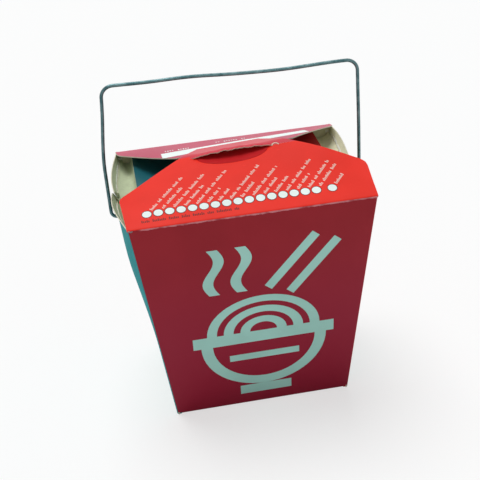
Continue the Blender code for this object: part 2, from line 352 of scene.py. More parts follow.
RED = (0.86, 0.028, 0.014)
# Painted shade: the panels' red is the lid's red darkened, and cooler towards the base.
PANEL_RED_PAINTED_SHADE = (0.32, 0.005, 0.015)
LOW_RED_PAINTED_SHADE = (0.31, 0.008, 0.032)
# The strip's darker, pinkish red is painted shade and painted sheen.
STRIP_RED_SHADE_AND_SHEEN = (0.62, 0.018, 0.045)
# The tongue's dark red is painted shade from the lip.
TONGUE_RED_PAINTED_SHADE = (0.50, 0.008, 0.012)
SIDE_RED = (0.55, 0.015, 0.03)
# The rear flap's darker, pinkish red is painted shade and painted sheen.
REAR_FLAP_RED_SHADE_AND_SHEEN = (0.47, 0.009, 0.070)
TEAL = (0.018, 0.30, 0.32)
# The left minor flap's dark teal is painted shade from the rear flap.
TEAL_PAINTED_SHADE = (0.011, 0.11, 0.135)
AQUA = (0.30, 0.62, 0.56)
red_flap = board_ink("red_ink_lid", RED, gloss=0.42, specular=0.15)
red_strip_shade_and_sheen = board_ink("red_ink_strip", STRIP_RED_SHADE_AND_SHEEN, gloss=0.30, specular=0.35)
red_panel_painted_shade = board_ink("red_ink_panel", PANEL_RED_PAINTED_SHADE, specular=0.2, worn=cool_painted_shade_towards_base(LOW_RED_PAINTED_SHADE))
tongue_ink_painted_shade = board_ink("red_ink_tongue", TONGUE_RED_PAINTED_SHADE, gloss=0.45, specular=0.1)
red_rear_shade_and_sheen = board_ink("red_ink_rear", REAR_FLAP_RED_SHADE_AND_SHEEN, gloss=0.30, specular=0.30)
teal_ink = board_ink("teal_ink", TEAL, gloss=0.55, specular=0.06)
aqua_ink = board_ink("aqua_ink", AQUA, gloss=0.5, specular=0.12)
minor_teal_painted_shade = board_ink("deep_teal_ink", TEAL_PAINTED_SHADE, specular=0.2)
crimson_ink = board_ink("crimson_ink", SIDE_RED)
print("inks:", [m.name for m in bpy.data.materials if "ink" in m.name])

# %% [markdown]
# The bare side of the board is cream, with darker flecks of pulp. Its cut edge is paler and rough.
# The same recipe carries a white line along a crease.

# %% Bare board and its cut edge
FLECK_SCALE, PULP_SCALE = 420.0, 1500.0
CREASE_LINE_WHITE = (0.95, 0.97, 0.92)


def bare_board(name, colour, crease_at=None):
    material, shader = new_material(name)
    fleck = ramp(material, noise(material, FLECK_SCALE, 5.0), 0.42, 0.72)
    tone = mix_colour(material, fleck, colour, toned(colour, 0.90, 0.0))
    if crease_at is not None:
        tone = crease_wear(crease_at, 0.8, 1.0, CREASE_LINE_WHITE)(material, tone)
    join(material, tone, shader.inputs["Base Color"])
    shader.inputs["Roughness"].default_value = 0.82
    shader.inputs["Specular IOR Level"].default_value = 0.2
    add_bump(material, shader, noise(material, PULP_SCALE, 4.0), 0.35, FIBRE_DEPTH)
    return material


RIM_CREASE = 102.8       # the height of the crease inside a gusset's open rim
CREAM = (0.78, 0.76, 0.56)
CREAM_LEFT_PAINTED_SHADE = (0.50, 0.56, 0.38)     # the left side's cream, darker and greener: painted shade and a painted teal reflection
cream_board = bare_board("cream_board", CREAM)
# The left side's cream boards carry that painted shade and painted teal reflection.
cream_by_side = {"left": bare_board("cream_board_left", CREAM_LEFT_PAINTED_SHADE), "right": cream_board}
cream_gusset = {
    "left": bare_board("cream_gusset_left", CREAM_LEFT_PAINTED_SHADE, RIM_CREASE),
    "right": bare_board("cream_gusset_right", CREAM, RIM_CREASE),
}
cut_edge = bare_board("cut_edge", (0.74, 0.70, 0.56))
print("bare board:", [m.name for m in bpy.data.materials if "cream" in m.name or "edge" in m.name])

# %% [markdown]
# A card starts as a flat grid. Its rows and columns are spread to the places that the fold needs,
# close together at a crease and wide apart on a flat. The flat place is kept as the UV map, so
# wear follows the board when it is folded.

# %% Cut and fold a card
def spread(marks, t):
    """The place on a list of marks at fraction t of its count."""
    i = round(t * (len(marks) - 1))
    return marks[i]


def make_card(name, columns, rows, flat, fold):
    """A grid of columns and rows; flat gives a point's place on the card, fold its place in space."""
    select_nothing()
    bpy.ops.mesh.primitive_grid_add(
        x_subdivisions=len(columns) - 1, y_subdivisions=len(rows) - 1, size=1.0, location=(0.5, 0.5, 0.0))
    bpy.ops.object.transform_apply(location=True)
    card = bpy.context.object
    card.name = name
    card.data.name = name
    card.data.uv_layers[0].name = "flat"
    marks = [(spread(columns, c.co.x), spread(rows, c.co.y)) for c in card.data.vertices]
    for loop in card.data.loops:
        across, along = flat(*marks[loop.vertex_index])
        card.data.uv_layers["flat"].data[loop.index].uv = (across / FLAT, along / FLAT)
    for corner, (column, row) in zip(card.data.vertices, marks):
        corner.co = Vector(fold(*flat(column, row))) * MM
    return card


def evenly(start, stop, steps):
    return [lerp(start, stop, i / steps) for i in range(steps + 1)]


def as_drawn(across, along):
    """For a card whose columns and rows are its flat place already."""
    return across, along


print("card cutter ready")

# %% [markdown]
# A folded card is still a sheet with no thickness. Solidify gives it the board's thickness, inward
# from the printed face, and each part of it gets its own finish.

# %% Thickness and finishes of a card
SMOOTH_UP_TO = math.radians(40.0)


def finish_card(card, outside, inside, edge=None, thickness=SHEET, turn=False):
    """Gives a folded card its thickness, inward from its printed face, and its three finishes."""
    for material in (outside, inside, edge or cut_edge):
        card.data.materials.append(material)
    select_nothing()
    bpy.context.view_layer.objects.active = card
    card.select_set(True)
    if turn:
        bpy.ops.object.mode_set(mode="EDIT")
        bpy.ops.mesh.select_all(action="SELECT")
        bpy.ops.mesh.flip_normals()
        bpy.ops.object.mode_set(mode="OBJECT")
    wall = card.modifiers.new("board", "SOLIDIFY")
    wall.thickness = thickness * MM
    wall.offset = -1.0
    wall.use_even_offset = True
    wall.material_offset = 1
    wall.material_offset_rim = 2
    bpy.ops.object.modifier_apply(modifier="board")
    bpy.ops.object.shade_smooth_by_angle(angle=SMOOTH_UP_TO)
    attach(card, "carton")
    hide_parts("carton")
    print(card.name, len(card.data.polygons), "faces")


print("card finisher ready, board", SHEET, "mm")

# %% [markdown]
# The long cards are folded round a bent line, their side view. A ruler along that line says where
# any length of card ends up, for the card and for the print on it.

# %% Rounded folds and rulers
def rounded(before, corner, after, cut, steps=7):
    """A rounded fold: a curve that leaves one straight run and joins the next, cut short of the corner."""
    before, corner, after = Vector(before), Vector(corner), Vector(after)
    start = corner + (before - corner).normalized() * cut
    stop = corner + (after - corner).normalized() * cut
    points = []
    for t in evenly(0.0, 1.0, steps):
        points.append(tuple(start * (1 - t) ** 2 + corner * 2 * t * (1 - t) + stop * t * t))
    return points


def ruler(points, zero):
    """A bent line of (y, z) points as a ruler: at(run, lift) is the place that far along from zero."""
    places = [Vector(p) for p in points]
    runs = [0.0]
    for a, b in zip(places, places[1:]):
        runs.append(runs[-1] + (b - a).length)
    slopes = [(b - a).normalized() for a, b in zip(places, places[1:])]
    turns = [slopes[0]] + [(a + b).normalized() for a, b in zip(slopes, slopes[1:])] + [slopes[-1]]

    def at(run, lift=0.0):
        run = min(max(run + zero, 0.0), runs[-1] - 1e-6)
        i = bisect_right(runs, run) - 1
        t = (run - runs[i]) / (runs[i + 1] - runs[i])
        place = places[i].lerp(places[i + 1], t)
        slope = turns[i].lerp(turns[i + 1], t).normalized()
        return place.x - slope.y * lift, place.y + slope.x * lift
    return at, runs


print("rulers ready")

# %% [markdown]
# The front card runs from under the base up the front panel, over a crease at the rim, up the lid
# flap to the ridge, and a short way down the other side. Its side view is one bent line.

# %% The front card's side view
CHORD = math.hypot(RIDGE_Y + RIM_DEPTH / 2, RIDGE_Z - RIM_HEIGHT)
REAR_RUN = math.hypot(RIM_DEPTH / 2 - RIDGE_Y, RIDGE_Z - RIM_HEIGHT)
FRONT_STRIP = 12.5       # how far the strip goes on behind the ridge
LID_ROLL = 0.045         # the gable leans: its right end stands higher than its left
FRONT_CROWN = 1.0        # how far the lid flap swells above a straight line
LIFT_AT_RIM, LIFT_AT_RIDGE = 0.45, 0.65
CREASE_CUT, RIDGE_CUT = 0.9, 1.6     # how much of each side a fold rounds off
CREASE_STEPS = 8
BEYOND_RIM = 5.0         # a place on the flap that gives its slope at the crease
BASE_TUCK = 2.5          # how much of the card shows under the base
PANEL_RUN = math.hypot(RIM_HEIGHT, (RIM_DEPTH - BASE_DEPTH) / 2)


def flap_height(t):
    """The front flap's outer face from its crease (t=0) to the ridge (t=1)."""
    crown = FRONT_CROWN * 4.0 * t * (1.0 - t)
    return lerp(RIM_HEIGHT, RIDGE_Z, t) + crown + lerp(LIFT_AT_RIM, LIFT_AT_RIDGE, t)


def rear_height(v, lift):
    return lerp(RIM_HEIGHT, RIDGE_Z, v / REAR_RUN) + lift


def panel_line(rim, beyond):
    """The side view from under the base to just over the rim, and its length to the crease's middle."""
    foot = (-BASE_DEPTH / 2, 0.0)
    line = [(foot[0] + BASE_TUCK, 0.0)] + rounded((0.0, 0.0), foot, rim, CREASE_CUT, 4)
    middle = len(line) + CREASE_STEPS // 2
    line += rounded(foot, rim, beyond, CREASE_CUT, CREASE_STEPS)
    return line, sum(math.dist(a, b) for a, b in zip(line[:middle], line[1:]))


beyond_rim = (-RIM_DEPTH / 2 + BEYOND_RIM, flap_height(BEYOND_RIM / (RIDGE_Y + RIM_DEPTH / 2)))
front_line, crease_run = panel_line((-RIM_DEPTH / 2, RIM_HEIGHT + 0.4), beyond_rim)
for t in evenly(0.05, 0.95, 22):
    front_line.append((lerp(-RIM_DEPTH / 2, RIDGE_Y, t), flap_height(t)))
ridge = (RIDGE_Y, flap_height(1.0))
strip_end_run = REAR_RUN * (1.0 - FRONT_STRIP / (RIM_DEPTH / 2 - RIDGE_Y))
strip_end = (RIDGE_Y + FRONT_STRIP, rear_height(strip_end_run, LIFT_AT_RIDGE))
front_line += rounded(front_line[-1], ridge, strip_end, RIDGE_CUT, 5) + [strip_end]
front_at, front_runs = ruler(front_line, crease_run)
print("front card", round(front_runs[-1], 1), "mm long, crease at", round(crease_run, 1))

# %% [markdown]
# The card isn't perfectly flat: its free corners droop a little, the flap has a slow ripple, and
# there is a dent in front of the slit. The print uses the same fold, so it always lies on the board.

# %% The lid's sag and dent
SLIT_RUN = CHORD - 3.3
SLIT_LEFT, SLIT_RIGHT = -19.8, 15.6
DENT_REACH, DENT_DEPTH = 9.0, 1.5
CORNER_DROOP, RIPPLE = 0.55, 0.12


def slit_place(u):
    """0 at the slit's ends, 1 at its middle."""
    return math.sin(math.pi * min(max((u - SLIT_LEFT) / (SLIT_RIGHT - SLIT_LEFT), 0.0), 1.0))


def front_sag(u, v):
    """How far the lid's face leaves its plain fold: corners droop, the slit's lower edge dips."""
    if v <= 0.0:
        return 0.0
    roll = LID_ROLL * u * smooth(v / CHORD)
    ahead = (SLIT_RUN - v) / (DENT_REACH * max(slit_place(u), 0.05) ** 0.5)
    dent = -DENT_DEPTH * slit_place(u) ** 0.5 * (1.0 - smooth(ahead))
    loose = smooth(v / 12.0) * smooth((46.0 - v) / 10.0)
    corner = smooth((abs(u) - 34.0) / 19.0) * -CORNER_DROOP
    ripple = RIPPLE * math.sin(u * 0.11 + 0.8) * math.sin(v * 0.13)
    return roll + dent + loose * (corner + ripple)


def fold_front(u, v, lift=0.0):
    y, z = front_at(v, lift)
    return u, y, z + front_sag(u, v)


print("slit from", SLIT_LEFT, "to", SLIT_RIGHT, "mm, dent", DENT_DEPTH, "mm deep")

# %% [markdown]
# The lid flap is as wide as the box at its crease, goes straight back for 20 mm, turns a small
# corner and then narrows to the ridge. The panel below follows the pail's taper.

# %% Outline of the front card
LID_LEFT = [(0.0, -52.1), (19.0, -53.4), (20.6, -53.0), (22.0, -51.7), (CHORD, -23.3)]
LID_LEFT.append((CHORD + FRONT_STRIP, -16.0))
LID_RIGHT = [(0.0, 52.2), (18.6, 52.7), (20.8, 52.2), (22.8, 50.4), (CHORD, 22.0)]
LID_RIGHT.append((CHORD + FRONT_STRIP, 12.3))
CARD_CORNER = 0.45       # the card's panel stops this far short of the pail's side


def on_outline(v, outline):
    """Where an outline of (v, u) corners is at v."""
    for (v0, u0), (v1, u1) in zip(outline, outline[1:]):
        if v <= v1:
            return lerp(u0, u1, (v - v0) / (v1 - v0))
    return outline[-1][1]


def panel_half(v):
    """Half the front panel's width at v, which is negative below the crease."""
    z = min(max(RIM_HEIGHT + v * RIM_HEIGHT / PANEL_RUN, 0.0), RIM_HEIGHT)
    return half_width(z) - CARD_CORNER


def flat_card(left, right, rim_half):
    """s runs across a card from -1 to 1; above the crease its edges are the two outlines."""
    def flat(s, v):
        if v <= 0.0:
            return s * lerp(panel_half(v), rim_half, smooth(v + 1.0)), v
        return lerp(on_outline(v, left), on_outline(v, right), (s + 1.0) / 2.0), v
    return flat


flat_front = flat_card(LID_LEFT, LID_RIGHT, LID_RIGHT[0][1])
print("lid", round(LID_RIGHT[0][1] - LID_LEFT[0][1], 1), "mm wide at its crease")

# %% [markdown]
# The rows are close together at the base fold, at the crease and at the lid's corners. This card
# stops at the slit's edge. The strip behind the slit is made later.

# %% Make the front card
def panel_rows(below):
    """Rows from under the base to just over the rim's crease, for a card that starts that far below it."""
    rows = [-below, -below + 1.2, -PANEL_RUN - 0.6, -PANEL_RUN, -PANEL_RUN + 0.6]
    rows += evenly(-PANEL_RUN + 1.5, -2.0, 26)
    return rows + [-1.2, -0.9, -0.6, -0.3, 0.0, 0.3, 0.6, 0.9, 1.2, 2.0]


front_end = front_runs[-1] - crease_run
front_rows = panel_rows(crease_run) + evenly(3.5, 17.5, 8) + [19.0, 19.8, 20.6, 21.3, 22.0, 22.8]
front_rows += evenly(24.0, SLIT_RUN, 22) + [SLIT_RUN + 0.8, SLIT_RUN + 1.6, SLIT_RUN + 2.4]
front_card = make_card("front_panel_and_lid", evenly(-1.0, 1.0, 72), front_rows, flat_front, fold_front)
# The front panel's deep red is painted shade.
finish_card(front_card, red_panel_painted_shade, cream_board)

# %% [markdown]
# The lid has the bright red, and the panel's deeper red is painted shade. The card's printed faces are
# sorted by their place on the flat card, and all that lie above the crease take the lid's ink.

# %% Ink the lid
LID_FROM = -0.1          # just below the crease


def ink_lid(card, ink):
    """Gives a card's printed faces above its crease another ink."""
    card.data.materials.append(ink)
    lid_slot = len(card.data.materials) - 1
    uvs = card.data.uv_layers["flat"].data
    for face in card.data.polygons:
        along = [uvs[i].uv.y * FLAT for i in face.loop_indices]
        if face.material_index == 0 and sum(along) / len(along) > LID_FROM:
            face.material_index = lid_slot


ink_lid(front_card, red_flap)
print("lid inked")

# %% [markdown]
# The rear card is folded the same way: up the rear panel and over to the ridge. It lies under the
# front card's strip. It is cut facing the other way, so across runs towards the left.

# %% The rear card
rear_top = (-RIDGE_Y - 0.4, rear_height(REAR_RUN, 0.05))
rear_line, rear_crease_run = panel_line((-RIM_DEPTH / 2, RIM_HEIGHT + 0.1), rear_top)
rear_at, rear_runs = ruler(rear_line + [rear_top], rear_crease_run)
REAR_LEFT = [(0.0, -52.0), (9.0, -51.0), (12.0, -49.0), (REAR_RUN, -25.0)]
REAR_RIGHT = [(0.0, 52.2), (9.0, 51.4), (12.0, 50.0), (REAR_RUN, 26.0)]
flat_rear = flat_card(REAR_LEFT, REAR_RIGHT, -REAR_LEFT[0][1])


def fold_rear(u, v, lift=0.0):
    """u runs from the pail's right (negative) to its left, as seen by someone behind it."""
    y, z = rear_at(v, lift)
    roll = -LID_ROLL * u * smooth(v / REAR_RUN) if v > 0.0 else 0.0
    return -u, -y, z + roll


rear_end = rear_runs[-1] - rear_crease_run
rear_rows = panel_rows(rear_crease_run) + evenly(3.5, 12.0, 5) + evenly(14.0, rear_end, 10)
rear_card = make_card("rear_panel_and_lid", evenly(-1.0, 1.0, 40), rear_rows, flat_rear, fold_rear)
# The rear panel's deep red is painted shade.
finish_card(rear_card, red_panel_painted_shade, cream_board)
# The rear flap's darker pinkish red is painted shade and painted sheen.
ink_lid(rear_card, red_rear_shade_and_sheen)

# %% [markdown]
# Behind the slit the front card goes on as a strip over the ridge. The rear card's tongue pushes the
# strip's edge up, so it stands open as a bowed lip, torn and wavy where hands have opened it.
# The strip is a card of its own, so that the slit is a real gap.

# %% The strip and its lip
LIP_REACH = 0.9          # how far the lip's middle bows out in front of the slit
LIP_HEIGHT = 1.9         # and how far it stands up from the lid


def lip_open(u, v):
    """1 at the torn edge's middle, 0 away from the slit."""
    return slit_place(u) ** 0.6 * smooth((CHORD + 1.5 - v) / 4.8)


def flat_strip(s, t):
    """s runs across from -1 to 1, t from the slit to the strip's far end."""
    v = lerp(SLIT_RUN, front_end, t)
    u = lerp(on_outline(v, LID_LEFT), on_outline(v, LID_RIGHT), (s + 1.0) / 2.0)
    torn = 0.22 * math.sin(u * 1.3) + 0.16 * math.sin(u * 2.9 + 1.0) + 0.1 * math.sin(u * 5.3)
    near = 1.0 - smooth(t * 8.0)
    return u, v - near * slit_place(u) ** 0.5 * (LIP_REACH + torn)


def fold_strip(u, v, lift=0.0):
    y, z = front_at(v, lift + 0.03)
    roll = LID_ROLL * u * smooth(v / CHORD)
    wave = 0.16 * math.sin(u * 0.9 + 0.4) * slit_place(u)
    return u, y, z + roll + lip_open(u, v) * (LIP_HEIGHT + wave)


strip_rows = evenly(0.0, 0.3, 14) + evenly(0.34, 0.5, 5) + evenly(0.58, 1.0, 6)
strip = make_card("lid_strip_and_lip", evenly(-1.0, 1.0, 96), strip_rows, flat_strip, fold_strip)
# The strip's darker pinkish red is painted shade and painted sheen.
finish_card(strip, red_strip_shade_and_sheen, cream_board)

# %% [markdown]
# The tongue is the rear card's own half-moon end. It comes out under the lip, into its shade, and
# presses a shallow dent into the lid in front of the slit. Its dark red, on its face and on its cut edge, is
# painted shade from the lip.

# %% The tongue under the lip
TONGUE_REACH = 7.4       # in front of the slit, at its middle


def flat_tongue(s, t):
    """s runs across from -1 to 1, t from the ridge to the tongue's rounded end."""
    u = lerp(SLIT_LEFT + 2.0, SLIT_RIGHT - 2.0, (s + 1.0) / 2.0)
    return u, CHORD + 1.0 - t * (4.3 + TONGUE_REACH * max(1.0 - abs(s) ** 2.4, 0.0) ** 0.5)


def fold_tongue(u, v, lift=0.0):
    x, y, z = fold_front(u, v, lift)
    return x, y, z + 0.10 + 0.30 * smooth((v - SLIT_RUN + 3.0) / 3.0)


tongue = make_card("lock_tongue", evenly(-1.0, 1.0, 60), evenly(0.0, 1.0, 14), flat_tongue, fold_tongue)
# The tongue's face and cut edge take a dark red that is painted shade from the lip.
finish_card(tongue, tongue_ink_painted_shade, cream_board, tongue_ink_painted_shade, thickness=0.25, turn=True)

# %% [markdown]
# Each side has two gussets, front and rear. A gusset is folded double against the side wall: its
# outer ply comes round the corner, swells out towards the rim, and turns back in a rounded nose.
# The open rim is flared outwards along a crease a few millimetres below its cut edge.

# %% Gusset shape
SWELL = {("front", "left"): 4.1, ("rear", "left"): 3.0, ("front", "right"): 1.8, ("rear", "right"): 2.3}
NOSE_SHIFT = {"left": 1.0, "right": -2.8}
RIM_FLARE = 1.5
FLARE_FROM = 76.0        # the rim starts to stand back at this height
RIM_RIPPLE = 0.25
NOSE_RADIUS = 0.55
NOSE_RETURN = 2.4
RETURN_TOP = 97.0        # what turns back inside is cut off lower, under the trough
GUSSET_TUCK = 1.6        # the ply goes on under the front or rear card
TUCK_UNDER = 0.07        # this far below its face
PLY_CORNER = 0.6
EDGE_FOOT, EDGE_TOP = 2.0, 0.3       # its edge: from the base's corner, from the side's middle


def bulge(end, side, t, z):
    swell = SWELL[(end, side)] * math.sin(math.pi * 0.72 * t) + NOSE_SHIFT[side] * smooth(t)
    return swell * smooth((z / RIM_HEIGHT - 0.25) / 0.75)


def flare(t, z):
    """How far the ply stands back from the rim's own line just under the rim."""
    open_part = math.sin(math.pi * min(0.06 + 0.94 * t, 1.0) * 0.8)
    if z > RIM_CREASE:
        return RIM_FLARE * open_part * (RIM_HEIGHT - z) / (RIM_HEIGHT - RIM_CREASE)
    return RIM_FLARE * open_part * smooth((z - FLARE_FROM) / (RIM_CREASE - FLARE_FROM))


def gusset_span(end, z):
    """Where a gusset starts and ends, along the side, at height z."""
    sign = SIGN[end]
    foot, top = sign * (BASE_DEPTH / 2 - EDGE_FOOT), SIDE_MIDDLE + sign * EDGE_TOP
    return sign * (half_depth(z) - CORNER_RADIUS), lerp(foot, top, z / RIM_HEIGHT)


def gusset_x(end, side, t, z):
    return half_width(z) + bulge(end, side, t, z) - flare(t, z)


print("gussets swell", SWELL, "mm")

# %% [markdown]
# One function folds all four gussets. Marks along the card say which part of the fold a point is
# in: tucked under the next panel, round the corner, on the ply, round the nose, or turned back.

# %% Fold the gussets
GUSSET_MARKS = evenly(-2.0, -1.0, 2) + evenly(-0.85, 0.0, 6) + evenly(0.04, 1.0, 24)
GUSSET_MARKS += evenly(1.15, 2.0, 6) + [2.5, 3.0]
UV_PER_MARK = 38.0


def fold_gusset(end, side):
    def fold(mark, z):
        """mark: -2..-1 tuck, -1..0 corner, 0..1 ply, 1..2 nose, 2..3 return."""
        sign = SIGN[end]
        z *= lerp(1.0, RETURN_TOP / RIM_HEIGHT, smooth((mark - 1.1) / 0.5))
        crease, edge = gusset_span(end, z)
        if mark <= -1.0:
            x = half_width(z) - PLY_CORNER - GUSSET_TUCK * (-1.0 - mark)
            y = sign * (half_depth(z) - TUCK_UNDER)
        elif mark <= 0.0:
            turn = (mark + 1.0) * math.pi / 2.0
            x = half_width(z) - PLY_CORNER * (1.0 - math.sin(turn))
            y = sign * (half_depth(z) - CORNER_RADIUS + (CORNER_RADIUS - TUCK_UNDER) * math.cos(turn))
        elif mark <= 1.0:
            x, y = gusset_x(end, side, mark, z), lerp(crease, edge, mark)
        else:
            nose = gusset_x(end, side, 1.0, z)
            turn = min(mark - 1.0, 1.0) * math.pi
            x = nose - NOSE_RADIUS + NOSE_RADIUS * math.cos(turn)
            y = edge - sign * NOSE_RADIUS * math.sin(turn) + sign * NOSE_RETURN * max(mark - 2.0, 0.0)
        wave = RIM_RIPPLE * math.sin(mark * 5.0) - 0.2 * smooth((mark - 0.8) / 0.3)
        rim_wave = smooth((z - 96.0) / 10.0) * wave
        return SIGN[side] * x, y, z + rim_wave
    return fold


gusset_rows = evenly(0.0, 72.0, 16) + evenly(FLARE_FROM, 100.0, 8)
gusset_rows += [101.5, 102.4, RIM_CREASE, 103.2, 104.0, 105.0, 105.6, RIM_HEIGHT]
gusset_ink = {"left": teal_ink, "right": crimson_ink}
for side in ("left", "right"):
    for end in ("front", "rear"):
        ply = make_card(f"gusset_{end}_{side}", GUSSET_MARKS, gusset_rows, as_drawn, fold_gusset(end, side))
        for loop in ply.data.uv_layers["flat"].data:
            loop.uv = (loop.uv[0] * UV_PER_MARK, loop.uv[1])
        outward_by_hand = (end == "front") == (side == "right")
        finish_card(ply, gusset_ink[side], cream_gusset[side], turn=not outward_by_hand)

# %% [markdown]
# Between the gussets lies the side wall itself, a tall triangle of pale aqua, set back by the
# gussets' two plies.

# %% Side walls
WALL_BACK = 1.35
WALL_TOP = 97.0          # a wall ends under the trough
WALL_HOLLOW = 0.25
WALL_TUCK = 2.2          # how far it goes on behind each gusset


def fold_side(side):
    def fold(s, z):
        """s runs along the side from the front (-1) to the rear (1)."""
        front_edge = gusset_span("front", z)[1] - WALL_TUCK
        rear_edge = gusset_span("rear", z)[1] + WALL_TUCK
        x = half_width(z) - WALL_BACK * smooth(z / RIM_HEIGHT * 6.0)
        x -= WALL_HOLLOW * math.sin(math.pi * z / RIM_HEIGHT)
        nose = min(gusset_x(end, side, 1.0, z) for end in ("front", "rear"))
        x = min(x, nose - 2.0 * NOSE_RADIUS - 0.2 + SHEET)
        return SIGN[side] * x, lerp(front_edge, rear_edge, (s + 1.0) / 2.0), z
    return fold


def side_pair(name, columns, rows, fold, outside, turned, thickness=SHEET):
    """A card on each side; fold and outside give a side's fold and finish."""
    for side in ("left", "right"):
        card = make_card(f"{name}_{side}", columns, rows, as_drawn, fold(side))
        finish_card(card, outside[side], cream_board, thickness=thickness, turn=side == turned)


wall_ink = {"left": aqua_ink, "right": aqua_ink}
side_pair("side_wall", evenly(-1.0, 1.0, 16), evenly(0.0, WALL_TOP, 40), fold_side, wall_ink, "left")

# %% [markdown]
# Where a gusset's two plies part at the rim they leave an open trough of bare board. It runs from
# the side crease down to the bottom of the fold and up again to the crease inside the rim.

# %% Troughs
TROUGH_DEEP = {"front": 10.0, "rear": 4.0}
TROUGH_END = 0.9         # it stops behind the front and the rear card
TROUGH_BOARD = 0.4
TROUGH_GAP = 0.35        # between its outer edge and the gusset


def trough_outer(side, y, z):
    """The inner face of a side's gussets at y."""
    end = "front" if y < SIDE_MIDDLE else "rear"
    crease, edge = gusset_span(end, z)
    place = min(max((y - crease) / (edge - crease), 0.0), 1.0)
    return gusset_x(end, side, place, z) - SHEET


def fold_trough(side):
    def fold(s, t):
        """t runs from the side crease (0) across the scooped trough to the gusset's rim crease (1)."""
        y = s * (half_depth(RIM_CREASE) - TROUGH_END)
        deep = lerp(TROUGH_DEEP["rear"], TROUGH_DEEP["front"], smooth((4.0 - y) / 16.0))
        x = lerp(SIDE_CREASE[side], trough_outer(side, y, RIM_CREASE - 0.5) - TROUGH_GAP, t ** 1.15)
        scoop = math.sin(math.pi * t ** 0.6) ** 0.8 if 0.0 < t < 1.0 else 0.0
        z = lerp(RIM_HEIGHT - 0.5, RIM_CREASE - 0.5, t) - deep * scoop
        return SIGN[side] * x, s * (half_depth(z) - TROUGH_END), z
    return fold


along_side, across_trough = evenly(-1.0, 1.0, 44), evenly(0.0, 1.0, 26)
side_pair("trough", along_side, across_trough, fold_trough, cream_by_side, "right", TROUGH_BOARD)

# %% [markdown]
# The top of each side wall is folded in under the lid as a minor flap. The two meet in the middle,
# a little lower than the rim, and show their printed side. The left one's dark teal is painted shade from
# the rear flap.

# %% Minor flaps
MINOR_REACH = {"left": 43.5, "right": 41.0}   # they meet in the middle
MINOR_SLOPE = 6.0        # a minor flap sinks this much towards the middle
MINOR_DROP = 0.45        # and starts this far below the rim
MINOR_HALF = (38.4, 33.0)            # half its length at its crease and at its free end
# The left minor flap's dark teal is painted shade from the rear flap.
minor_ink = {"left": minor_teal_painted_shade, "right": crimson_ink}


def fold_minor(side):
    def fold(s, t):
        """t runs from the side crease (0) in under the lid (1)."""
        y = s * lerp(*MINOR_HALF, smooth(2.0 * t))
        x = SIDE_CREASE[side] - MINOR_REACH[side] * t
        return SIGN[side] * x, y, RIM_HEIGHT - MINOR_DROP - MINOR_SLOPE * t - 0.5 * math.sin(math.pi * t)
    return fold


side_pair("minor_flap", evenly(-1.0, 1.0, 24), evenly(0.0, 1.0, 20), fold_minor, minor_ink, "left")

# %% [markdown]
# The base closes the pail. It is one more panel of the same card, between the folds of the walls.

# %% Base panel
BASE_HOLLOW = 0.25       # it is pushed up a little in the middle
BASE_LIFT = 0.06         # its edge is this far above the floor
BASE_GAP = (0.4, 0.6)    # between it and the walls, at the ends and at the front and rear


def fold_base(x, y):
    across, along = 2.0 * x / BASE_WIDTH, 2.0 * y / BASE_DEPTH
    return x, y, BASE_LIFT + BASE_HOLLOW * smooth(1.0 - across ** 2) * smooth(1.0 - along ** 2)


base_x, base_y = BASE_WIDTH / 2 - BASE_GAP[0], BASE_DEPTH / 2 - BASE_GAP[1]
base = make_card("base_panel", evenly(-base_x, base_x, 24), evenly(-base_y, base_y, 16), as_drawn, fold_base)
# The base's deep red is painted shade.
finish_card(base, red_panel_painted_shade, cream_board, turn=True)

# %% [markdown]
# Print is made of marks. Each is cut flat on a table, in millimetres, from a circle or a plain
# sheet: a disc, a band (a ring or half of one) or a bar.

# %% Flat shapes for print
def flat_shape(u, v, turn=0.0, stretch=(1.0, 1.0)):
    """Places the shape just made on the table, and applies its place."""
    shape = bpy.context.object
    shape.location = (u, v, 0.0)
    shape.rotation_euler = (0.0, 0.0, turn)
    shape.scale = (stretch[0], stretch[1], 1.0)
    bpy.ops.object.transform_apply(location=True, rotation=True, scale=True)
    return shape


def disc(u, v, radius, sides=28):
    select_nothing()
    bpy.ops.mesh.primitive_circle_add(vertices=sides, radius=radius, fill_type="NGON")
    return flat_shape(u, v)


def band(u, v, radius, width, keep=None, squash=1.0, sides=56):
    """A ring of that outer radius; keep is "upper" or "lower" for half of it."""
    select_nothing()
    bpy.ops.mesh.primitive_circle_add(vertices=sides, radius=radius, fill_type="NGON")
    bpy.ops.object.mode_set(mode="EDIT")
    bpy.ops.mesh.select_all(action="SELECT")
    bpy.ops.mesh.inset(thickness=width)
    bpy.ops.mesh.delete(type="FACE")
    if keep:
        bpy.ops.mesh.select_all(action="SELECT")
        bpy.ops.mesh.bisect(
            plane_co=(0, 0, 0), plane_no=(0, 1, 0), clear_inner=keep == "upper", clear_outer=keep == "lower")
    bpy.ops.object.mode_set(mode="OBJECT")
    return flat_shape(u, v, 0.0, (1.0, squash))


def bar(u, v, length, width, turn=0.0):
    select_nothing()
    bpy.ops.mesh.primitive_plane_add(size=1.0)
    return flat_shape(u, v, turn, (length, width))


print("disc, band and bar ready")

# %% [markdown]
# Print lies on the board as a film of ink. The marks are joined and then laid on the folded card
# with the same ruler that folded it. The film is thinner than a hair, so it reads as print.

# %% Lay print on a card
INK_LIFT, INK_FILM = 0.06, 0.04


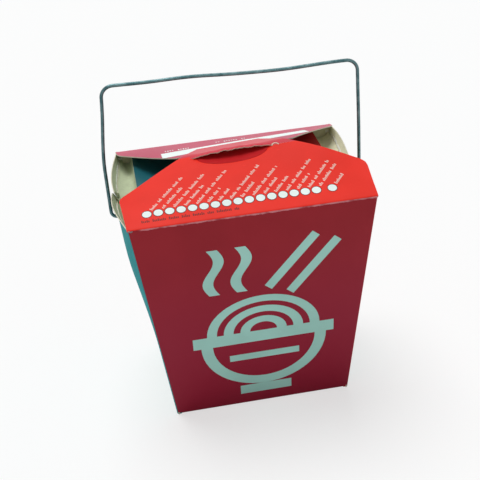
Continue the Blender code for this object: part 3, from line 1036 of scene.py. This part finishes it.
def lay_print(name, shapes, fold, ink):
    """Joins flat shapes into one print and lays it on the card that fold folds."""
    select_nothing()
    for shape in shapes:
        shape.select_set(True)
    bpy.context.view_layer.objects.active = shapes[0]
    if len(shapes) > 1:
        bpy.ops.object.join()
    film = bpy.context.object
    film.name = film.data.name = name
    for corner in film.data.vertices:
        corner.co = Vector(fold(corner.co.x, corner.co.y, INK_LIFT)) * MM
    film.data.materials.clear()
    film.data.materials.append(ink)
    wall = film.modifiers.new("film", "SOLIDIFY")
    wall.thickness = INK_FILM * MM
    wall.offset = -1.0
    bpy.ops.object.modifier_apply(modifier="film")
    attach(film, "carton")
    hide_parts("carton")
    print(name, len(shapes), "shapes,", len(film.data.polygons), "faces")


white_ink = board_ink("white_ink", (0.84, 0.95, 0.92), gloss=0.45, specular=0.2)
pale_ink = board_ink("pale_ink", (0.93, 0.70, 0.62), gloss=0.45, specular=0.2)
grey_ink = board_ink("grey_green_ink", (0.40, 0.72, 0.64), gloss=0.42, specular=0.2)
dark_ink = board_ink("dark_ink", (0.10, 0.012, 0.012), gloss=0.45, specular=0.2)
print("print is", INK_FILM, "mm thick")

# %% [markdown]
# The lid carries a row of boxes to tick, one for each filling: a white dot in a thin dark ring.

# %% Tick dots
DOT_RADIUS = 1.9
RING_OUT, RING_WIDTH = 0.28, 0.26
DOT_ROW = 8.0            # how far the row is above the front crease
DOT_PLACES = [lerp(-43.1, 27.8, i / 15) for i in range(16)] + [34.6]

dots = [disc(u, DOT_ROW, DOT_RADIUS) for u in DOT_PLACES]
lay_print("tick_dots", dots, fold_front, white_ink)
rings = [band(u, DOT_ROW, DOT_RADIUS + RING_OUT, RING_WIDTH, sides=28) for u in DOT_PLACES]
lay_print("tick_dot_rings", rings, fold_front, dark_ink)

# %% [markdown]
# Beside each dot runs a slanted line of small print. It stands for words without being any: rows
# of short upright strokes of uneven height, broken into groups.

# %% Small print
PRINT_SLOPE = math.radians(50.0)
PRINT_LENGTHS = [26.0, 18.5, 26.0, 16.5, 27.0, 12.0, 10.5, 26.0, 12.5]
PRINT_LENGTHS += [23.0, 14.0, 13.5, 24.0, 13.0, 20.5, 18.0, 9.5]
PRINT_START = 3.1        # from the dot's middle
WORD_GAP = 1.1
GROUPS = [4.4, 2.2, 6.1, 3.0, 5.2, 3.7, 2.9]
STROKES = [1.55, 1.0, 1.0, 1.45, 1.0, 1.0, 1.35, 1.0]
STROKE_PITCH, STROKE_WIDTH = 0.74, 0.42


def small_print(start, slope, length, size=1.0, seed=0):
    """Strokes along a line from start; groups of them are parted by gaps."""
    shapes = []
    along, group, left = 0.0, seed, GROUPS[seed % len(GROUPS)]
    while along < length:
        tall = STROKES[(len(shapes) + seed) % len(STROKES)] * size
        u = start[0] + along * math.cos(slope) - (tall - size) / 2 * math.sin(slope)
        v = start[1] + along * math.sin(slope) + (tall - size) / 2 * math.cos(slope)
        shapes.append(bar(u, v, STROKE_WIDTH * size, tall, slope))
        along += STROKE_PITCH * size
        left -= STROKE_PITCH * size
        if left < 0.0:
            group += 1
            left = GROUPS[group % len(GROUPS)]
            along += WORD_GAP * size
    return shapes


words = []
for i, (u, length) in enumerate(zip(DOT_PLACES, PRINT_LENGTHS)):
    start = (u + PRINT_START * math.cos(PRINT_SLOPE) + 0.3, DOT_ROW + PRINT_START * math.sin(PRINT_SLOPE))
    words += small_print(start, PRINT_SLOPE, length - PRINT_START, seed=i)
lay_print("choice_small_print", words, fold_front, pale_ink)
lay_print("note_small_print", small_print((-45.5, 3.7), 0.0, 40.0, 0.95, 3), fold_front, dark_ink)

# %% [markdown]
# The slit ends in a small hooked cut, which stops it from tearing on. Its edge shows as bare board.

# %% Hooked end of the slit
HOOK_RADIUS, HOOK_WIDTH = 1.7, 0.5
HOOK_LIFT = 0.15         # the cut edge stands a little proud of the print

hook = [band(SLIT_RIGHT + 1.5, SLIT_RUN - 0.6, HOOK_RADIUS, HOOK_WIDTH, "upper", sides=24)]
lay_print("slit_hook", hook, lambda u, v, lift: fold_front(u, v, lift + HOOK_LIFT), cut_edge)

# %% [markdown]
# The rear flap has a long white box to write in, half covered by the strip, and small print above.

# %% Writing box
BOX_LEFT, BOX_RIGHT = -32.0, 36.0
BOX_WIDTH = 11.5
BOX_RUN = (28.0, 20.5)   # its middle line above the rear crease, at its left and at its right end

box_shapes = []
for a, b in zip(evenly(BOX_LEFT, BOX_RIGHT, 34), evenly(BOX_LEFT, BOX_RIGHT, 34)[1:]):
    middle = (a + b) / 2
    run = lerp(*BOX_RUN, (middle - BOX_LEFT) / (BOX_RIGHT - BOX_LEFT))
    select_nothing()
    bpy.ops.mesh.primitive_grid_add(x_subdivisions=1, y_subdivisions=6, size=1.0)
    box_shapes.append(flat_shape(-middle, run, 0.0, (b - a, BOX_WIDTH)))
lay_print("writing_box", box_shapes, fold_rear, white_ink)
marks = small_print((-8.0, 12.0), 0.0, 14.0, 1.5, 1) + small_print((19.0, 17.5), 0.0, 13.0, 1.5, 4)
lay_print("box_small_print", marks, fold_rear, white_ink)

# %% [markdown]
# The front and rear panels carry one large emblem in flat grey-green strokes: a bowl of noodles
# with steam and chopsticks, a plain sign of what is in the box.

# %% Emblem
STROKE = 5.2
TABLE = -66.0            # the height on the panel of the bar along the bowl's rim
RIM_BAR = STROKE + 1.0
CHOPSTICK_TILT = math.radians(50.0)


def steam(u, v, length, width):
    """A wavy upright stroke."""
    select_nothing()
    bpy.ops.mesh.primitive_grid_add(x_subdivisions=1, y_subdivisions=20, size=1.0)
    stroke = flat_shape(0.0, 0.0, 0.0, (width, length))
    for corner in stroke.data.vertices:
        corner.co.x += STROKE / 2 * math.sin(corner.co.y / length * 2.0 * math.pi)
    return flat_shape(u, v)


def emblem():
    """A bowl on its foot, with noodles, steam and chopsticks."""
    shapes = [bar(0.0, TABLE, 64.0, RIM_BAR)]
    shapes.append(band(0.0, TABLE - RIM_BAR / 2, 28.5, STROKE, "lower", 0.92))
    shapes.append(bar(0.0, TABLE - 31.9, 24.0, STROKE))
    shapes += [band(0.0, TABLE + RIM_BAR / 2, radius, 4.4, "upper", 0.78) for radius in (25.5, 18.0, 10.5)]
    shapes.append(bar(0.0, TABLE - 11.5, 32.0, 3.6))
    shapes += [steam(u, -27.5, 24.0, 4.6) for u in (-20.5, -8.5)]
    shapes += [bar(u, v, 33.0, 4.0, CHOPSTICK_TILT) for u, v in ((13.5, -26.5), (23.0, -30.5))]
    return shapes


EMBLEM_SHIFT = 1.6       # the front one sits a little right of the middle
lay_print("emblem_front", emblem(), lambda u, v, lift: fold_front(u + EMBLEM_SHIFT, v, lift), grey_ink)
lay_print("emblem_rear", emblem(), fold_rear, grey_ink)

# %% [markdown]
# On a side wall the same drawing is less than a third of the size, so that it fits between the gussets.

# %% Side emblems
SIDE_EMBLEM = 0.30
SIDE_EMBLEM_Z = 36.0
EMBLEM_MIDDLE = -58.0    # the middle of the drawing, as drawn for the front


def fold_on_side(side):
    def fold(u, v, lift):
        z = SIDE_EMBLEM_Z + (v - EMBLEM_MIDDLE) * SIDE_EMBLEM
        x, y, z = fold_side(side)(0.0, z)
        return x + SIGN[side] * lift, SIGN[side] * u * SIDE_EMBLEM, z
    return fold


for side in ("left", "right"):
    lay_print(f"emblem_{side}", emblem(), fold_on_side(side), crimson_ink)

# %% [markdown]
# The bail is a drawn steel wire, bent over the top and hooked through a hole in each side wall.
# Its middle line is drawn first, as arcs and straight runs.

# %% Bail route
WIRE = 1.5
BAIL_Z, BAIL_RISE = 94.0, 58.5
LEFT_EXTRA = 1.6         # the left corner stands this much higher
LEFT_LEG, RIGHT_LEG = -57.6, 54.6
LEFT_SHOULDER, RIGHT_SHOULDER = -54.6, 54.2
BEND, SHOULDER, PIN_LENGTH = 2.6, 5.0, 7.0
STRAIGHT_LEG = 22.0      # a leg is upright this far, past the gussets, and then leans in
DIP, DIP_PLACE, DIP_WIDTH = 1.5, 0.72, 0.16      # a hand has bent the top down here
BAIL_TOP = BAIL_Z + BAIL_RISE
LEFT_TOP = BAIL_TOP + LEFT_EXTRA


def arc(centre, start, stop, radius, steps):
    turns = [math.radians(a) for a in evenly(start, stop, steps)]
    return [(centre[0] + radius * math.cos(a), centre[1] + radius * math.sin(a)) for a in turns]


def leg_line(foot, shoulder, top):
    points = []
    for z in evenly(BAIL_Z + BEND, top - SHOULDER, 16)[1:-1]:
        lean = smooth((z - BAIL_Z - STRAIGHT_LEG) / (BAIL_RISE - STRAIGHT_LEG))
        points.append((lerp(foot, shoulder, lean), z))
    return points


bail_line = [(LEFT_LEG + BEND + PIN_LENGTH, BAIL_Z), (LEFT_LEG + BEND + 2.0, BAIL_Z)]
bail_line += arc((LEFT_LEG + BEND, BAIL_Z + BEND), 270, 180, BEND, 8)
bail_line += leg_line(LEFT_LEG, LEFT_SHOULDER, LEFT_TOP)
bail_line += arc((LEFT_SHOULDER + SHOULDER, LEFT_TOP - SHOULDER), 180, 90, SHOULDER, 10)
for t in evenly(0.0, 1.0, 32)[1:-1]:
    sag = DIP * math.exp(-((t - DIP_PLACE) / DIP_WIDTH) ** 2) + 0.3 * math.sin(5.0 * math.pi * t)
    x = lerp(LEFT_SHOULDER + SHOULDER, RIGHT_SHOULDER - SHOULDER, t)
    bail_line.append((x, lerp(LEFT_TOP, BAIL_TOP, t) - sag * math.sin(math.pi * t)))
bail_line += arc((RIGHT_SHOULDER - SHOULDER, BAIL_TOP - SHOULDER), 90, 0, SHOULDER, 10)
bail_line += list(reversed(leg_line(RIGHT_LEG, RIGHT_SHOULDER, BAIL_TOP)))
bail_line += arc((RIGHT_LEG - BEND, BAIL_Z + BEND), 0, -90, BEND, 8)
bail_line += [(RIGHT_LEG - BEND - 2.0, BAIL_Z), (RIGHT_LEG - BEND - PIN_LENGTH, BAIL_Z)]
print("wire", round(sum(math.dist(a, b) for a, b in zip(bail_line, bail_line[1:]))), "mm long")

# %% [markdown]
# Drawn wire is grey steel, uneven in tone, with a very fine grain from the die. Its dark teal colour is a
# painted reflection.

# %% Wire material
# Both tones carry a painted teal reflection.
DARK_WIRE, LIGHT_WIRE = (0.05, 0.11, 0.12), (0.13, 0.21, 0.22)

wire_steel, shader = new_material("drawn_wire")
patches = ramp(wire_steel, noise(wire_steel, 260.0, 3.0), 0.3, 0.7)
tone = mix_colour(wire_steel, patches, DARK_WIRE, LIGHT_WIRE)
join(wire_steel, tone, shader.inputs["Base Color"])
shader.inputs["Metallic"].default_value = 1.0
shader.inputs["Roughness"].default_value = 0.38
add_bump(wire_steel, shader, noise(wire_steel, 1800.0, 2.0), 0.15, 0.0001)
print("wire material", wire_steel.name)

# %% [markdown]
# The route becomes a curve with a round bevel, which is then made a mesh.

# %% Bail
wire_curve = bpy.data.curves.new("wire_bail", "CURVE")
wire_curve.dimensions = "3D"
wire_curve.bevel_depth = WIRE / 2 * MM
wire_curve.bevel_resolution = 6
wire_curve.use_fill_caps = True
spline = wire_curve.splines.new("POLY")
spline.points.add(len(bail_line) - 1)
for point, (x, z) in zip(spline.points, bail_line):
    point.co = (x * MM, SIDE_MIDDLE * MM, z * MM, 1.0)
wire = bpy.data.objects.new("wire_bail", wire_curve)
bpy.context.scene.collection.objects.link(wire)
select_nothing()
bpy.context.view_layer.objects.active = wire
wire.select_set(True)
bpy.ops.object.convert(target="MESH")
wire = bpy.context.object
wire.name = "wire_bail"
bpy.ops.object.shade_smooth_by_angle(angle=math.radians(50.0))
wire.data.materials.clear()
wire.data.materials.append(wire_steel)
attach(wire, "bail")
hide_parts("bail")
print("bail", len(wire.data.polygons), "faces")
